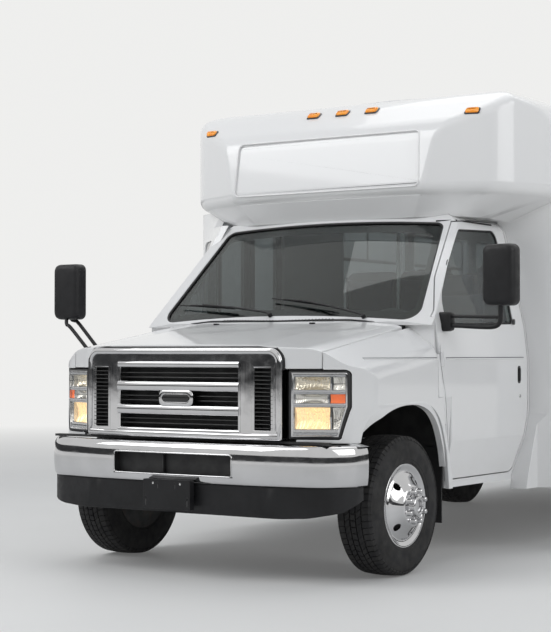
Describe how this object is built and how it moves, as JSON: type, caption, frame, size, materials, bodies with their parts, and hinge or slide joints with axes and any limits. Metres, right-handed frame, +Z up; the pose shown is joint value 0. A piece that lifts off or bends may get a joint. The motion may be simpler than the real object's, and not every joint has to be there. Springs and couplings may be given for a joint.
{
  "type": "minibus",
  "caption": "Cutaway minibus: van cab with chrome front, roof cap with blank sign panel, square passenger body, opening doors and hood, steered wheels, twin rear wheels.",
  "frame": {"origin": "on the ground, in the middle of the overall length and width", "axes": "+Z up; the front faces -Y; +X is the driver's side, the vehicle's left"},
  "size_m": [2.85, 7.053, 2.8],
  "materials": {
    "white_paint": "gloss white paint",
    "cab_paint": "gloss white paint",
    "glass_clear": "clear, faintly grey",
    "glass_dark": "dark tint",
    "lamp_clear": "clear moulded lens",
    "lamp_amber": "amber lens",
    "lamp_red": "red lens",
    "black_plastic": "grained black",
    "chrome": "bright chrome",
    "dark_insert": "matte black",
    "floor_grey": "ribbed grey",
    "frame_steel": "black frame paint",
    "cast": "cast",
    "tank_steel": "dull steel",
    "dark_steel": "black paint",
    "liner": "matte black",
    "rubber": "matte",
    "black_frame": "black anodised",
    "trim_grey": "grained grey",
    "seat_fabric": "woven dark blue-grey",
    "tyre": "black rubber",
    "wheel_chrome": "bright chrome"
  },
  "bodies": {
    "minibus_body": {"cab_shell": "cab_paint", "windscreen": "glass_clear", "fenders": "white_paint", "headlamps": "lamp_clear", "cowl": "black_plastic", "grille": "chrome", "grille_insert": "dark_insert", "radiator_support": "dark_insert", "front_bumper": "chrome", "bumper_valance": "black_plastic", "plate_bracket": "black_plastic", "front_cap": "white_paint", "kerb_panel": "white_paint", "side_wall_left": "white_paint", "side_wall_right": "white_paint", "body_windows": "glass_dark", "roof": "white_paint", "rear_wall": "white_paint", "floor": "floor_grey", "entry_steps": "floor_grey", "marker_lamps": "lamp_amber", "tail_lamps": "lamp_red", "rear_bumper": "dark_steel", "chassis_frame": "frame_steel", "engine": "cast", "fuel_tank": "tank_steel", "exhaust": "tank_steel", "front_axle": "frame_steel", "rear_axle": "frame_steel", "leaf_springs": "frame_steel", "wheelhouses": "liner", "mud_flaps": "rubber", "kerb_mirror": "black_plastic", "wipers": "black_plastic", "dashboard": "trim_grey", "steering_wheel": "trim_grey", "seats": "seat_fabric"},
    "knuckle_left": {"knuckle_left": "frame_steel"},
    "knuckle_right": {"knuckle_right": "frame_steel"},
    "wheel_front_left": {"wheel_front_left": "wheel_chrome", "tyre_front_left": "tyre"},
    "wheel_front_right": {"wheel_front_right": "wheel_chrome", "tyre_front_right": "tyre"},
    "wheels_rear_left": {"wheels_rear_left": "wheel_chrome", "tyres_rear_left": "tyre"},
    "wheels_rear_right": {"wheels_rear_right": "wheel_chrome", "tyres_rear_right": "tyre"},
    "hood": {"hood": "white_paint"},
    "driver_door": {"driver_door": "white_paint", "driver_door_glass": "glass_clear", "driver_door_handle": "black_plastic", "driver_mirror": "black_plastic"},
    "entry_leaf_front": {"entry_leaf_front": "black_frame", "entry_glass_front": "glass_dark"},
    "entry_leaf_rear": {"entry_leaf_rear": "black_frame", "entry_glass_rear": "glass_dark"},
    "rear_door": {"rear_door": "white_paint", "rear_door_glass": "glass_dark"}
  },
  "joints": [
    {"name": "steer_left", "type": "hinge", "parent": "minibus_body", "child": "knuckle_left", "pos_m": [0.79, -2.7365, 0.3725], "axis": [0, 0, 1], "range_deg": [-30, 30]},
    {"name": "steer_right", "type": "hinge", "parent": "minibus_body", "child": "knuckle_right", "pos_m": [-0.79, -2.7365, 0.3725], "axis": [0, 0, 1], "range_deg": [-30, 30]},
    {"name": "roll_front_left", "type": "hinge", "parent": "knuckle_left", "child": "wheel_front_left", "pos_m": [0.881, -2.7365, 0.3725], "axis": [1, 0, 0], "continuous": true},
    {"name": "roll_front_right", "type": "hinge", "parent": "knuckle_right", "child": "wheel_front_right", "pos_m": [-0.881, -2.7365, 0.3725], "axis": [1, 0, 0], "continuous": true},
    {"name": "roll_rear_left", "type": "hinge", "parent": "minibus_body", "child": "wheels_rear_left", "pos_m": [0.95, 1.2765, 0.3725], "axis": [1, 0, 0], "continuous": true},
    {"name": "roll_rear_right", "type": "hinge", "parent": "minibus_body", "child": "wheels_rear_right", "pos_m": [-0.95, 1.2765, 0.3725], "axis": [1, 0, 0], "continuous": true},
    {"name": "hood_hinge", "type": "hinge", "parent": "minibus_body", "child": "hood", "pos_m": [0, -2.4485, 1.375], "axis": [-1, 0, 0], "range_deg": [0, 50]},
    {"name": "driver_door_hinge", "type": "hinge", "parent": "minibus_body", "child": "driver_door", "pos_m": [1.007, -2.3745, 1], "axis": [0, 0, -1], "range_deg": [0, 65]},
    {"name": "entry_front_hinge", "type": "hinge", "parent": "minibus_body", "child": "entry_leaf_front", "pos_m": [-1.242, -1.4105, 1.2], "axis": [0, 0, 1], "range_deg": [0, 88]},
    {"name": "entry_rear_hinge", "type": "hinge", "parent": "minibus_body", "child": "entry_leaf_rear", "pos_m": [-1.242, -0.6325, 1.2], "axis": [0, 0, -1], "range_deg": [0, 88]},
    {"name": "rear_door_hinge", "type": "hinge", "parent": "minibus_body", "child": "rear_door", "pos_m": [-0.41, 3.4575, 1.5], "axis": [0, 0, 1], "range_deg": [0, 100]}
  ],
  "couplings": [
    {"joint": "steer_right", "follows": "steer_left", "ratio": 1},
    {"joint": "entry_rear_hinge", "follows": "entry_front_hinge", "ratio": 1}
  ]
}
